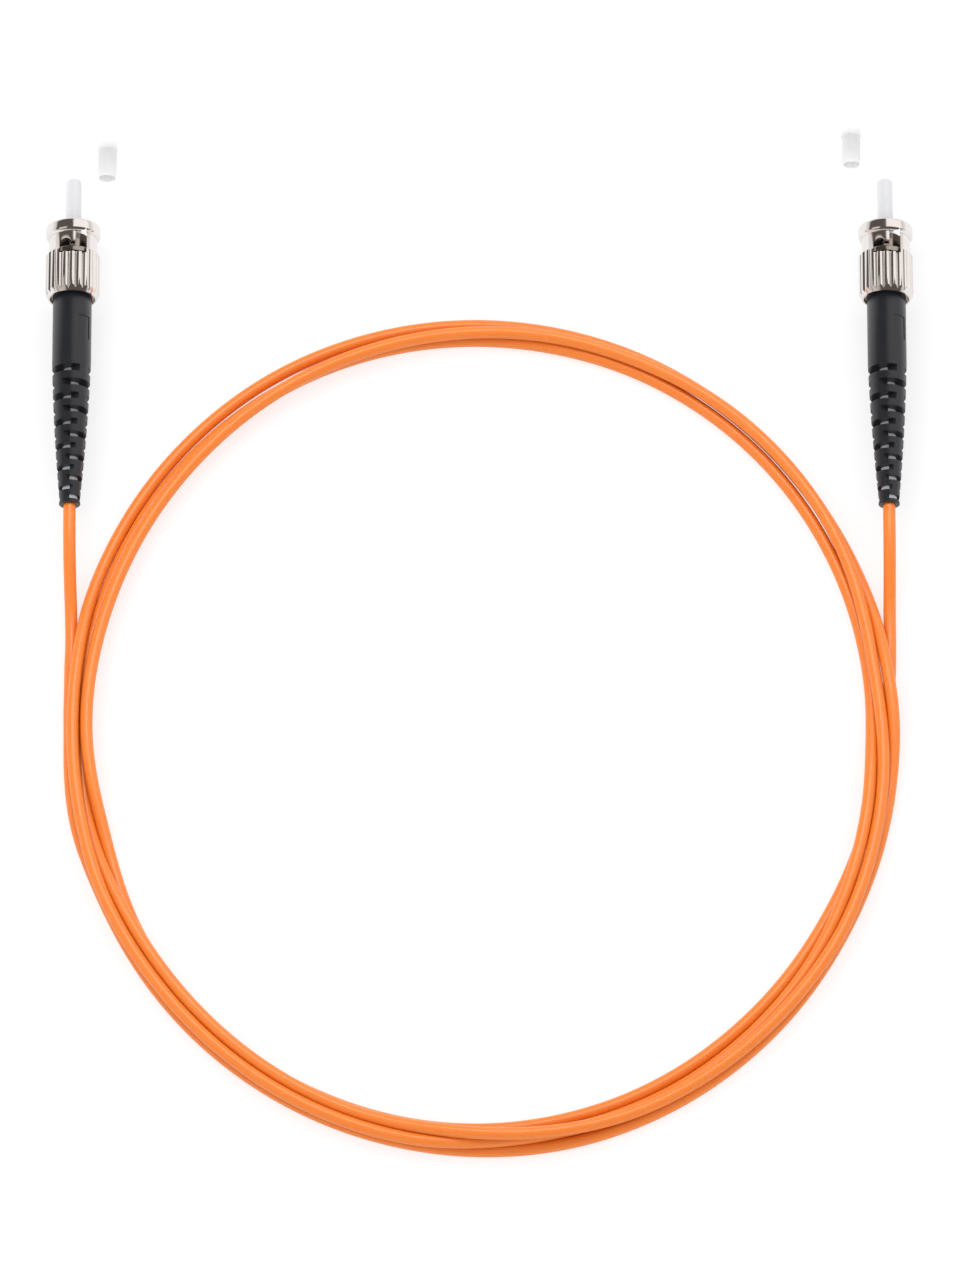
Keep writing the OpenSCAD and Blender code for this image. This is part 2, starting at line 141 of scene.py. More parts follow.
def mix_colours(tree, share, low, high):
    """Blend two colours; sockets 0, 6 and 7 are the share and the colours."""
    inputs = {0: share, 6: low, 7: high}
    return add_node(tree, "ShaderNodeMix", inputs, data_type="RGBA").outputs[2]


def noise(tree, scale, detail, stretch):
    """Noise on Object coordinates; scale is in features per metre."""
    where = add_node(tree, "ShaderNodeTexCoord").outputs["Object"]
    mapped = add_node(tree, "ShaderNodeMapping", {"Vector": where, "Scale": stretch})
    inputs = {"Vector": mapped.outputs[0], "Scale": scale, "Detail": detail}
    return add_node(tree, "ShaderNodeTexNoise", inputs).outputs["Fac"]


# %% One finish
COARSE_DETAIL, FINE_DETAIL = 3, 5
FINER = 6
BUMP_STRENGTH = 0.5


def finish(name, dark, light, grain, gloss, bump=0.0, stretch=(1, 1, 1), **sockets):
    """A material that wanders between two colours and between two roughnesses.

    The grain is in features per metre and the bump in mm. More sockets of the
    shader are set by name, with _ for a space.
    """
    material = bpy.data.materials.new(name)
    material.use_nodes = True
    tree = material.node_tree
    shader = tree.nodes["Principled BSDF"]
    for socket, value in sockets.items():
        shader.inputs[socket.replace("_", " ")].default_value = value
    coarse = noise(tree, grain, COARSE_DETAIL, stretch)
    fine = noise(tree, FINER * grain, FINE_DETAIL, stretch)
    tint = mix_colours(tree, coarse, (*dark, 1), (*light, 1))
    tree.links.new(tint, shader.inputs["Base Color"])
    inputs = {"Value": fine, "To Min": gloss[0], "To Max": gloss[1]}
    rough = add_node(tree, "ShaderNodeMapRange", inputs)
    tree.links.new(rough.outputs[0], shader.inputs["Roughness"])
    if bump:
        inputs = {"Height": fine, "Strength": BUMP_STRENGTH, "Distance": bump * MM}
        relief = add_node(tree, "ShaderNodeBump", inputs)
        tree.links.new(relief.outputs[0], shader.inputs["Normal"])
    print("finish", name)
    return material


# %% [markdown]
# ## The table
#
# The cord lies on plain white paper. Under real studio lamps such paper comes
# out white all over, with only faint shadows. A little light of its own does
# the same here, with no need to aim a lamp at every corner.

# %% Table
TABLE_HALF_WIDTH = 3
PAPER_GLOW = 0.66


def mesh_object(name, bm):
    """Turn a bmesh into an object of the scene and free it."""
    mesh = bpy.data.meshes.new(name)
    bm.to_mesh(mesh)
    bm.free()
    made = bpy.data.objects.new(name, mesh)
    bpy.context.scene.collection.objects.link(made)
    return made


def make_table():
    bm = bmesh.new()
    bmesh.ops.create_grid(bm, x_segments=1, y_segments=1, size=TABLE_HALF_WIDTH)
    table = mesh_object("table", bm)
    paper = finish(
        "table_paper", (0.37, 0.37, 0.375), (0.38, 0.38, 0.385), 8, (0.85, 0.95),
        Emission_Color=(1, 1, 1, 1), Emission_Strength=PAPER_GLOW,
    )
    table.data.materials.append(paper)


make_table()

# %% [markdown]
# ## The sky
#
# The sky is even and pale for everything that it lights. Polished metal,
# though, shows the room itself: a dark ceiling, one bright panel to the right,
# a smaller card to the left and pale walls low down. Real panels round the
# table would also light the cord and the paper. So the room is painted into
# the sky for mirror-like rays alone.

# %% World
SKY_EDGE = 0.06
WHITE = (1, 1, 1, 1)
WALLS, CEILING = (0.86, 0.83, 0.81, 1), (0.1, 0.085, 0.076, 1)
WALLS_END, CEILING_STARTS = 0.18, 0.36
CARD_COLOUR, PANEL_COLOUR = (0.72, 0.64, 0.6, 1), (1.12, 1.08, 1.05, 1)

# limits of the direction towards each bright patch
CARD = {"X": (-0.86, -0.38), "Y": (-0.6, 0.2), "Z": (0.3, 1.2)}
PANEL = {"X": (0.0, 1.2), "Y": (0.04, 1.2), "Z": (0.26, 1.2)}


def rise(tree, amount, below, above):
    """A smooth step from 0 to 1 as amount goes from below to above."""
    inputs = {"Value": amount, "From Min": below, "From Max": above}
    made = add_node(tree, "ShaderNodeMapRange", inputs, interpolation_type="SMOOTHSTEP")
    return made.outputs[0]


def patch(tree, parts, limits):
    """The part of the sky between the limits of each axis, with soft edges."""
    share = None
    for axis, (low, high) in limits.items():
        for edge, inner in ((low, low + SKY_EDGE), (high, high - SKY_EDGE)):
            step = rise(tree, parts[axis], edge, inner)
            if share is not None:
                both = add_node(tree, "ShaderNodeMath", {0: share, 1: step}, operation="MULTIPLY")
                step = both.outputs[0]
            share = step
    return share


def make_world():
    world = bpy.data.worlds.new("studio")
    world.use_nodes = True
    tree = world.node_tree
    tree.nodes.clear()
    direction = add_node(tree, "ShaderNodeTexCoord").outputs["Generated"]
    parts = add_node(tree, "ShaderNodeSeparateXYZ", {"Vector": direction}).outputs
    room = mix_colours(tree, rise(tree, parts["Z"], WALLS_END, CEILING_STARTS), WALLS, CEILING)
    room = mix_colours(tree, patch(tree, parts, CARD), room, CARD_COLOUR)
    room = mix_colours(tree, patch(tree, parts, PANEL), room, PANEL_COLOUR)
    ray = add_node(tree, "ShaderNodeLightPath").outputs
    seen = mix_colours(tree, ray["Is Glossy Ray"], WHITE, room)
    sky = add_node(tree, "ShaderNodeBackground", {"Color": seen, "Strength": 1.0})
    out = add_node(tree, "ShaderNodeOutputWorld")
    tree.links.new(sky.outputs[0], out.inputs[0])
    bpy.context.scene.world = world


make_world()

# %% [markdown]
# ## The lamps
#
# A soft panel at the upper left, behind the cord, gives the pieces a light and
# a dark side. A point lamp would draw hard shadows instead. The panel is
# hidden from mirror-like rays, because the nuts already show the painted room.

# %% Soft key light
def area_light(name, place, size, power, glossy):
    """A soft panel of width and depth size that faces the middle of the table."""
    data = bpy.data.lights.new(name, "AREA")
    data.shape = "RECTANGLE"
    data.size, data.size_y = size
    data.energy = power
    lamp = bpy.data.objects.new(name, data)
    lamp.location = place
    lamp.rotation_euler = (CAMERA_TARGET - Vector(place)).to_track_quat("-Z", "Y").to_euler()
    lamp.visible_glossy = glossy
    bpy.context.scene.collection.objects.link(lamp)
    return lamp


area_light("key_panel", (-0.5, 0.35, 0.9), (0.6, 0.6), 1.6, False)

# %% [markdown]
# A second panel hangs over the back of the table. It puts the bright line
# along the cord's crown. A stronger key light would do that too, but would
# wash out the rest, so light linking gives this panel to the cord alone.

# %% Cord light
cord_light = area_light("cord_panel", (0, 0.5, 1.35), (1.0, 0.45), 6.5, True)
lit_pieces = bpy.data.collections.new("lit_by_cord_panel")
cord_light.light_linking.receiver_collection = lit_pieces

# %% [markdown]
# ## The cord
#
# One length of cord, 2 mm thick, leaves the left boot, goes three and a half
# times round and ends in the right boot. Laid by hand, the turns ride over
# each other here and there. The route is given by a few resting places: the
# angle round the coil, how far outwards the strand lies, and its height.
# Rings of equal size could stand in for the turns, but a real coil never
# closes on itself. So it is one strand, as the real one is.

# %% Resting places of the strand
CORD_D = 2.0
COIL_MIDDLE = (0.3, -71.5)
COIL_RADII = (63.75, 68.85)
ON_TABLE = CORD_D / 2

# angle in degrees, outwards from the middle lane and height, both in mm
FIRST_TURN = [
    (168, 2.74, 1), (174, 1.76, 1), (182, 1.25, 1), (200, 1.15, 1), (240, 1.1, 1),
    (285, 1.3, 1), (320, 1.25, 1), (342, 1.3, 1.1), (352, 1.45, 1.7), (360, 1.4, 2.5),
    (366, 1.3, 3.15), (371, 1.2, 2.8), (377, 1.3, 1.2), (390, 1.1, 1), (420, 1.25, 1),
    (450, 1.75, 1), (480, 2.3, 1), (505, 2.2, 1), (522, 1.75, 1.2),
]
SECOND_TURN = [
    (531, 1.3, 2.6), (538, 1, 3.15), (560, 0.85, 3.15), (600, 0.85, 3.1), (625, 0.7, 2.9),
    (645, 0.1, 2.5), (665, -0.5, 2.4), (690, -0.6, 3), (705, -1.4, 2.9), (718, -1.7, 1.2),
    (735, -1.4, 1), (760, -1, 1), (810, -0.8, 1), (840, -0.15, 1), (860, 0.05, 1),
    (890, 0, 1), (905, 0, 1.3),
]
THIRD_TURN = [
    (918, -0.2, 2.6), (930, -0.9, 3.3), (945, -1.2, 3.15), (965, -0.9, 3.15),
    (985, -0.4, 3.4), (1000, 0.3, 4.3), (1020, 0.8, 3.5), (1045, 1.05, 3.2),
    (1065, 0.6, 3.4), (1080, -0.2, 4), (1088, -0.9, 3.3), (1098, -0.1, 3.1),
    (1110, 0.7, 3.15), (1130, 0.8, 3.15), (1155, 0.2, 3.1), (1180, -0.5, 3.1),
    (1215, -0.95, 3.15), (1240, -1.1, 3.15), (1258, -1.1, 3),
]
LAST_TURN = [
    (1275, -1.6, 1.9), (1290, -1.3, 1), (1310, -1.3, 1), (1335, -1.9, 1), (1365, -2.4, 1),
    (1395, -2.3, 1), (1415, -1.9, 1), (1430, -1.1, 1), (1440, -0.1, 1), (1445, 1, 1),
    (1452, 2.6, 1),
]

# %% [markdown]
# Between its resting places the strand is stiff and heavy, and it can't pass
# through itself. A physics run could settle it, but a short relaxation in
# plain arrays gives the same strand each time. Its state is a lane: how far
# outwards and how high the strand lies at every third degree.

# %% Settle the strand
STEP = 3
TURN = 360 // STEP
NEIGHBOURS = (1, 2, 3)
CLEARANCE = 0.01
SINK, PULL = 0.004, 0.03
HELD_POINTS = 5
ROUNDS, PUSHES = 400, 3


def keep_apart(lane, fixed):
    """Push turns that lie closer than one diameter apart, half each."""
    for turns in NEIGHBOURS:
        below = np.arange(0, len(lane) - turns * TURN)
        above = below + turns * TURN
        apart = lane[above] - lane[below]
        gap = np.hypot(apart[:, 0], apart[:, 1])
        push = np.maximum(CORD_D + CLEARANCE - gap, 0)[:, None]
        way = apart / np.maximum(gap, 1e-6)[:, None]
        free_below, free_above = ~fixed[below][:, None], ~fixed[above][:, None]
        share = np.maximum(free_below.astype(float) + free_above, 1)
        np.add.at(lane, below, -way * push * free_below / share)
        np.add.at(lane, above, way * push * free_above / share)
    lane[:, 1] = np.maximum(lane[:, 1], ON_TABLE)


def stiffness(lane):
    """The push of a bent strand back towards straight, at all but its end points."""
    near, far = lane[1:-3] + lane[3:-1], lane[:-4] + lane[4:]
    return -(far - 4 * near + 6 * lane[2:-2]) / 16


def settle(angles, rest):
    """Let the strand bend stiffly, sink and stay out of its own way."""
    lane = np.stack([np.interp(angles, rest[:, 0], rest[:, k]) for k in (1, 2)], 1)
    wish = lane[:, 0].copy()
    fixed = np.zeros(len(lane), bool)
    fixed[:HELD_POINTS] = fixed[-HELD_POINTS:] = True
    for _ in range(ROUNDS):
        move = np.zeros_like(lane)
        move[2:-2] = stiffness(lane)
        move[:, 1] -= SINK
        move[:, 0] += PULL * (wish - lane[:, 0])
        move[fixed] = 0
        lane += move
        for _ in range(PUSHES):
            keep_apart(lane, fixed)
    return lane


def closest(lane):
    """The smallest distance between neighbouring turns, in mm."""
    pairs = [(lane[n * TURN :], lane[: -n * TURN]) for n in NEIGHBOURS]
    return min(np.hypot(*(above - below).T).min() for above, below in pairs)


def coil_points():
    """Points of the settled coil in mm, from the left tail to the right one."""
    rest = np.array(FIRST_TURN + SECOND_TURN + THIRD_TURN + LAST_TURN, float)
    angles = np.arange(rest[0, 0], rest[-1, 0] + 1, STEP)
    lane = settle(angles, rest)
    turned = np.radians(angles)
    wide, long = COIL_RADII
    outwards = np.stack([long * np.cos(turned), wide * np.sin(turned)], 1)
    outwards /= np.linalg.norm(outwards, axis=1)[:, None]
    middle = np.stack([wide * np.cos(turned), long * np.sin(turned)], 1) + COIL_MIDDLE
    print("turns lie", round(closest(lane), 2), "mm apart or more")
    print("highest centre line", round(lane[:, 1].max(), 2), "mm")
    return np.column_stack([middle + outwards * lane[:, :1], lane[:, 1]])


# %% [markdown]
# Each tail leaves its boot level, 4.4 mm up, and sinks to the table over 2 cm.
# A swept mesh could carry the jacket, but a curve with a round bevel stays
# smooth at every bend and keeps its route easy to read.

# %% The whole route, from boot to boot
LEFT_ROUTE = [
    (-65.25, -33.6, 4.4), (-65.25, -37, 4.4), (-65.2, -41, 3.9),
    (-65.1, -45.5, 2.7), (-64.9, -50, 1.4), (-64.8, -54, 1),
]
RIGHT_ROUTE = [
    (65.2, -53.5, 1), (65.2, -49.5, 1.4), (65.25, -45.5, 2.7),
    (65.25, -41, 3.9), (65.25, -37, 4.4), (65.25, -33.6, 4.4),
]


def make_cord(material):
    """One curve along the whole route, in metres."""
    route = np.vstack([LEFT_ROUTE, coil_points(), RIGHT_ROUTE]) * MM
    data = bpy.data.curves.new("orange_cord", "CURVE")
    data.dimensions = "3D"
    data.bevel_depth = CORD_D / 2 * MM
    data.bevel_resolution = 6
    data.resolution_u = 3
    spline = data.splines.new("NURBS")
    spline.points.add(len(route) - 1)
    spline.points.foreach_set("co", np.column_stack([route, np.ones(len(route))]).ravel())
    spline.order_u, spline.use_endpoint_u = 4, True
    cord = bpy.data.objects.new("orange_cord", data)
    bpy.context.scene.collection.objects.link(cord)
    data.materials.append(material)
    lit_pieces.objects.link(cord)
    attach(cord, "connectors")
    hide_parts("cord_coil", "left_tail", "right_tail")


# %% [markdown]
# The jacket is soft orange plastic. Light gets a little way into it, which
# warms its shaded edges, so it has some subsurface scattering.

# %% Jacket
orange_jacket = finish(
    "orange_jacket", (0.77, 0.2, 0.022), (0.82, 0.22, 0.028), 900, (0.27, 0.36), 0.006,
    Subsurface_Weight=0.3, Subsurface_Scale=0.0012, Subsurface_Radius=(1, 0.35, 0.12),
)
make_cord(orange_jacket)

# %% [markdown]
# ## Turned pieces
#
# Nearly everything on a connector is turned on a lathe or moulded round an
# axis. So each piece starts as a half outline of a few vertices, which the
# spin operator sweeps round the axis. Outlines close on themselves, which
# makes the walls real: a tube has an inside and an outside.

# %% Lathe helpers
LATHE_STEPS = 96
WELD, TINY = 1e-4, 1e-5


def spin_outline(outline, steps=LATHE_STEPS):
    """Sweep a closed outline of (radius, height) points round Z."""
    bm = bmesh.new()
    points = [bm.verts.new((r, 0, z)) for r, z in outline]
    edges = [bm.edges.new(pair) for pair in zip(points, points[1:] + points[:1])]
    bmesh.ops.spin(
        bm, geom=points + edges, cent=(0, 0, 0), axis=(0, 0, 1), angle=2 * math.pi,
        steps=steps, use_merge=True,
    )
    bmesh.ops.remove_doubles(bm, verts=bm.verts, dist=WELD)
    bmesh.ops.dissolve_degenerate(bm, dist=TINY, edges=bm.edges)
    bmesh.ops.recalc_face_normals(bm, faces=bm.faces)
    return bm


def arc(middle, radius, start, end, steps=8):
    """Points of an arc round middle, for an outline; angles in degrees."""
    turned = [math.radians(start + (end - start) * i / steps) for i in range(steps + 1)]
    across, along = middle
    return [(across + radius * math.cos(a), along + radius * math.sin(a)) for a in turned]


# %% [markdown]
# Slots, keys and recesses are cut out of a turned piece or joined on. Moving
# vertices by hand could do it, but a Boolean keeps each form a plain solid
# that is easy to change. A finished shape is copied on to both connectors.

# %% Cutting and fitting helpers
SHARP_ANGLE = math.radians(35)


def boolean(bm, tool, operation="DIFFERENCE"):
    """Cut tool out of bm, or join it on, and return the result."""
    body, cutter = mesh_object("body", bm), mesh_object("cutter", tool)
    step = body.modifiers.new("boolean", "BOOLEAN")
    step.operation, step.solver, step.object = operation, "EXACT", cutter
    shaped = body.evaluated_get(bpy.context.evaluated_depsgraph_get())
    result = bmesh.new()
    result.from_mesh(shaped.to_mesh())
    shaped.to_mesh_clear()
    for used in (body, cutter):
        bpy.data.objects.remove(used)
    bmesh.ops.remove_doubles(result, verts=result.verts, dist=WELD)
    return result


def at_clock(bm, angle):
    """Turn a shape drawn along +X to a clock angle, rightwards from the top."""
    turn = Matrix.Rotation(math.radians(angle - 90), 3, "Z")
    bmesh.ops.rotate(bm, cent=(0, 0, 0), matrix=turn, verts=bm.verts)


def fit_on_both(kind, node, bm, material, body="connectors", places=PLACES):
    """Lay a copy of the shape at both places, instead of its two CAD nodes."""
    made = []
    for side, place in places.items():
        copy = bm.copy()
        bmesh.ops.transform(copy, matrix=place, verts=copy.verts)
        piece = mesh_object(f"{side}_{kind}", copy)
        piece.data.shade_smooth()
        piece.data.set_sharp_from_angle(angle=SHARP_ANGLE)
        piece.data.materials.append(material)
        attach(piece, body.format(side=side))
        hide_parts(f"{side}_{node}")
        made.append(piece)
    print(kind, len(bm.faces), "faces each")
    bm.free()
    return made


# %% [markdown]
# ## Stations
#
# The stations are distances from the boot's rear end, in millimetres, as on a
# maker's drawing. All the pieces of a connector share them.

# %% Stations and radii
BOOT_LEN = 36.5
NUT_REAR, NUT_FRONT = 35.8, 48.5
GRIP_FRONT, RING_REAR = 43.4, 46.2
SHOULDER_REAR, SHOULDER_FRONT = 37.5, 38.3
WASHER_REAR, WASHER_FRONT = 38.34, 38.64
FLANGE_REAR, FLANGE_FRONT = 43.04, 43.84
BARREL_FRONT = 46.74
FERRULE_REAR, FERRULE_TIP = 44.24, 56.8
NUT_R, NUT_BORE_R, NECK_R = 4.4, 3.55, 3.875
SHOULDER_BORE_R, POCKET_R = 2.3, 3.62
BARREL_R, NOSE_R, FLANGE_R = 2.2, 2.4, 3.45
FERRULE_R, BUFFER_R = 1.25, 0.5
print("nut", NUT_FRONT - NUT_REAR, "mm long, ferrule stands out", FERRULE_TIP - NUT_FRONT)

# %% [markdown]
# ## The ferrule
#
# The ferrule is a ground rod of white zirconia that holds the glass fibre. Its
# tip is slightly domed and chamfered, so that it finds its way into an
# adapter. Its thinner stem sits in the barrel. A cylinder with a bevel would
# give the rod, but one lathe outline gives the stem, the dome and the fibre's
# hole as well.

# %% Ferrule
CHAMFER = 0.35
STEM_R = 1.05
FIBRE_HOLE_R = 0.0725


def ferrule_shape():
    tip_r = FERRULE_R - CHAMFER
    stem_front = BARREL_FRONT + 0.05
    outline = [(BUFFER_R, FERRULE_REAR), (STEM_R, FERRULE_REAR), (STEM_R, stem_front)]
    outline += [(FERRULE_R - 0.06, stem_front), (FERRULE_R, BARREL_FRONT + 0.11)]
    outline += [(FERRULE_R, FERRULE_TIP - CHAMFER - 0.1)]
    outline += [(FERRULE_R - 0.02, FERRULE_TIP - CHAMFER - 0.02)]
    outline += [(tip_r + 0.03, FERRULE_TIP - 0.07), (tip_r - 0.03, FERRULE_TIP - 0.04)]
    outline += [(tip_r / 2, FERRULE_TIP - 0.012), (FIBRE_HOLE_R, FERRULE_TIP)]
    return spin_outline(outline + [(FIBRE_HOLE_R, FERRULE_REAR + 1)])


zirconia = finish(
    "zirconia", (0.75, 0.755, 0.77), (0.78, 0.785, 0.8), 500, (0.18, 0.26),
    Subsurface_Weight=0.15, Subsurface_Scale=0.0005, Subsurface_Radius=(1, 1, 1),
)
fit_on_both("ferrule_rod", "ferrule", ferrule_shape(), zirconia)


# %% [markdown]
# ## The coupling nut
#
# The nut is turned brass with a nickel plating: a ribbed grip behind, a plain
# neck with two J-shaped bayonet slots, and a rounded ring in front. A Boolean
# could cut every groove between the ribs. Here the lathe gives each rib
# sixteen steps, and the grip's outer vertices then move in to the outline of
# 22 round ribs. That leaves a clean mesh and lets the ribs run out in the
# chamfer.

# %% Nut blank
RIBS, RIB_R = 22, 0.62
RIB_STEPS = 16
GRIP_CHAMFER, GRIP_EDGE, RING_EDGE = 0.9, 0.3, 0.65
NEAR = 0.01


def nut_blank():
    rows = [i / 10 for i in range(1, 11)]
    chamfer = [(NECK_R + (NUT_R - NECK_R) * u, NUT_REAR + GRIP_CHAMFER * u) for u in rows]
    steps = (0, 0.25, 0.5, 0.75, 1)
    front = [(NUT_R - GRIP_EDGE * u, GRIP_FRONT - GRIP_EDGE + GRIP_EDGE * u) for u in steps]
    outline = [(POCKET_R, NUT_REAR), (NECK_R, NUT_REAR), *chamfer, *front]
    outline += [(NECK_R, GRIP_FRONT), (NECK_R, RING_REAR + 0.012)]
    outline += arc((NUT_R - RING_EDGE, RING_REAR + RING_EDGE), RING_EDGE, -72, 0)
    outline += arc((NUT_R - RING_EDGE, NUT_FRONT - RING_EDGE), RING_EDGE, 0, 84)
    outline += [(NUT_BORE_R, NUT_FRONT - 0.25), (NUT_BORE_R, SHOULDER_FRONT)]
    outline += [(SHOULDER_BORE_R, SHOULDER_FRONT), (SHOULDER_BORE_R, SHOULDER_REAR)]
    return spin_outline(outline + [(POCKET_R, SHOULDER_REAR)], RIBS * RIB_STEPS)


def rib_radius(angle):
    """Radius of the ribbed outline at an angle from a rib's middle."""
    pitch_r = NUT_R - RIB_R
    return pitch_r * math.cos(angle) + math.sqrt(RIB_R**2 - (pitch_r * math.sin(angle)) ** 2)


def press_ribs(bm):
    """Move the grip's outer vertices in to the ribbed outline."""
    pitch = 2 * math.pi / RIBS
    for v in bm.verts:
        reach = math.hypot(v.co.x, v.co.y)
        if reach > NECK_R + NEAR and v.co.z < GRIP_FRONT + NEAR:
            clock = math.atan2(v.co.y, v.co.x) + math.pi / 2
            off = (clock + pitch / 2) % pitch - pitch / 2
            v.co.xy *= min(reach, rib_radius(off)) / reach


# %% [markdown]
# An adapter's two lugs enter the slots from the front, pass across and settle
# in the catches. A Boolean cuts each slot with a prism of its outline, and a
# shallower groove inside the ring lets the lug in. The slots' outer edges get
# a fine bevel, since plating never leaves an edge sharp.

# %% Bayonet slots
SLOT_W, ENTRY_W = 2.0, 1.8
CATCH_ANGLE, ENTRY_ANGLE = -16, 21
CATCH, ENTRY = (NECK_R * math.sin(math.radians(a)) for a in (CATCH_ANGLE, ENTRY_ANGLE))
SLOT_REAR = GRIP_FRONT - 0.9
PASSAGE_H, CATCH_RISE = 1.9, 0.6
CUT_NEAR, CUT_FAR = 2.6, 5
GROOVE_DEPTH = 0.25
SLOT_BEVEL = 0.08


def prism(outline, near, far):
    """A cutter: an outline of (across, along) points pushed out along +X."""
    bm = bmesh.new()
    face = bm.faces.new([bm.verts.new((near, y, z)) for y, z in outline])
    out = bmesh.ops.extrude_face_region(bm, geom=[face])["geom"]
    moved = [v for v in out if isinstance(v, bmesh.types.BMVert)]
    bmesh.ops.translate(bm, verts=moved, vec=(far - near, 0, 0))
    bmesh.ops.recalc_face_normals(bm, faces=bm.faces)
    return bm


def slot_outline():
    """A slot seen from outside: cross passage, entry on the right, catch on the left."""
    top = SLOT_REAR + PASSAGE_H + CATCH_RISE - SLOT_W / 2
    left, right = ENTRY - ENTRY_W / 2, ENTRY + ENTRY_W / 2
    outline = [(CATCH - SLOT_W / 2, SLOT_REAR), (right, SLOT_REAR), (right, RING_REAR + 0.05)]
    outline += [(left, RING_REAR + 0.05), (left, SLOT_REAR + PASSAGE_H)]
    return outline + arc((CATCH, top), SLOT_W / 2, 25, 180, 14)


def cut_slots(bm):
    """Cut both slots and the grooves that lead to them through the ring."""
    groove = ENTRY_W / 2 - 0.05
    mouth = [
        (ENTRY - groove, RING_REAR - 0.1), (ENTRY + groove, RING_REAR - 0.1),
        (ENTRY + groove, NUT_FRONT + 0.1), (ENTRY - groove, NUT_FRONT + 0.1),
    ]
    cuts = ((slot_outline(), CUT_FAR), (mouth, NUT_BORE_R + GROOVE_DEPTH))
    for turn in (0, 180):
        for outline, far in cuts:
            cutter = prism(outline, CUT_NEAR, far)
            at_clock(cutter, turn)
            bm = boolean(bm, cutter)
    return bm


def on_slot_rim(edge):
    """Whether an edge lies on the outside of the nut, along a slot, and is sharp."""
    middle = (edge.verts[0].co + edge.verts[1].co) / 2
    front = max(vert.co.z for vert in edge.verts)
    if not SLOT_REAR - 0.05 < middle.z or front >= RING_REAR - 0.3 or abs(middle.x) >= 2.4:
        return False
    if math.hypot(middle.x, middle.y) <= NECK_R - 0.03 or not edge.is_manifold:
        return False
    radial = Vector((middle.x, middle.y, 0)).normalized()
    wall = min(abs(face.normal.dot(radial)) for face in edge.link_faces)
    return edge.calc_face_angle() > 0.9 and wall < 0.35


def bevel_slots(bm):
    """Break the outer edges of the slots."""
    chosen = [edge for edge in bm.edges if on_slot_rim(edge)]
    print("slot edges to bevel:", len(chosen))
    bmesh.ops.bevel(
        bm, geom=chosen, offset=SLOT_BEVEL, offset_type="OFFSET", segments=2, profile=0.5,
        affect="EDGES", clamp_overlap=False, material=-1,
    )


# %% [markdown]
# The plating is polished outside. A second, darker finish goes on the inner
# faces as painted shade for the bore. Shadow alone would leave them too light,
# because they still mirror the painted sky.

# %% The finished nut
def mark_shaded_bore(bm):
    """Give the faces of the nut's bore the second, darker material, which paints shade into the
    bore.
    """
    for face in bm.faces:
        middle = face.calc_center_median()
        inside = math.hypot(middle.x, middle.y) < NUT_BORE_R + NEAR
        along = SHOULDER_FRONT - NEAR < middle.z < NUT_FRONT - 0.3
        face.material_index = int(inside and along)


nickel = finish(
    "polished_nickel", (0.77, 0.735, 0.71), (0.83, 0.795, 0.775), 700, (0.1, 0.17), 0.002,
    Metallic=1.0,
)
# A darker copy of the nickel: painted shade for the bore's inner faces.
painted_shade_nickel = finish(
    "painted_shade_nickel", (0.2, 0.165, 0.14), (0.28, 0.24, 0.21), 700, (0.18, 0.28), 0.002,
    Metallic=1.0,
)
nut = nut_blank()
press_ribs(nut)
nut = cut_slots(nut)
bevel_slots(nut)
mark_shaded_bore(nut)
shells = fit_on_both("nut_shell", "coupling_nut", nut, nickel, "{side}_nut")
for shell in shells:
    shell.data.materials.append(painted_shade_nickel)

# %% [markdown]
# ## The boot
#
# The boot is moulded rubber that keeps the cord from kinking: a plain front, a
# tapering tail with twelve slot levels, and a small ring at the very end. Each
# level is a pair of opposite saw cuts, turned a quarter round from the level
# before, so the tail bends easily in all directions. The body could be a
# stack of rings on bridges, but the real mould is a turned form with slots. So
# a lathe gives the body, and boxes cut the slots.

# %% Boot body
BOOT_R, TAIL_R, TAIL_LEN = 3.12, 1.56, 24.5
TAIL_BULGE = 0.53
END_RING, MOUTH_EDGE = 0.14, 0.25
CORD_HOLE_R, LINER_HOLE_R, SLEEVE_HOLE_R, SOCKET_R = 1.05, 1.24, 1.37, 2.2
LINER_FRONT, SLEEVE_FRONT, SOCKET_REAR = 24.1, 29.1, 29.9


def boot_radius(station):
    """The tail's outside radius: a curve that flattens forwards."""
    u = min(station / TAIL_LEN, 1)
    return TAIL_R + (BOOT_R - TAIL_R) * ((1 + TAIL_BULGE) * u - TAIL_BULGE * u * u)


def boot_body():
    outline = [(CORD_HOLE_R, 0), (TAIL_R, 0)]
    outline += [(TAIL_R + END_RING, 0.12), (TAIL_R + END_RING, 0.38)]
    outline += [(boot_radius(0.5 + i * 0.75), 0.5 + i * 0.75) for i in range(33)]
    outline += [(BOOT_R, BOOT_LEN - MOUTH_EDGE), (BOOT_R - 0.1, BOOT_LEN - 0.07)]
    outline += [(BOOT_R - MOUTH_EDGE, BOOT_LEN), (SOCKET_R, BOOT_LEN), (SOCKET_R, SOCKET_REAR)]
    outline += [(SLEEVE_HOLE_R, SLEEVE_FRONT), (SLEEVE_HOLE_R, LINER_FRONT)]
    outline += [(LINER_HOLE_R, LINER_FRONT), (LINER_HOLE_R, 0.5), (CORD_HOLE_R, 0.5)]
    return spin_outline(outline)


# %% [markdown]
# The slot levels stand closer and narrower towards the rear, where the tail is
# thin. Twenty-four boxes in one cutter need only one Boolean, which is faster
# than a cut for each.

# %% Boot slots
SLOT_LEVELS = 12
SLOT_FLOOR = 0.86
FRONT_SLOT, FRONT_PITCH, PITCH_LOSS = 22.8, 2.45, 0.093
FRONT_SLOT_W, WIDTH_LOSS = 1.2, 0.48
CUT_DEPTH, CUT_WIDTH = 3, 8
SLOT_CLOCK = 45


def slot_place(level):
    return FRONT_SLOT - level * FRONT_PITCH + PITCH_LOSS * level * (level - 1) / 2


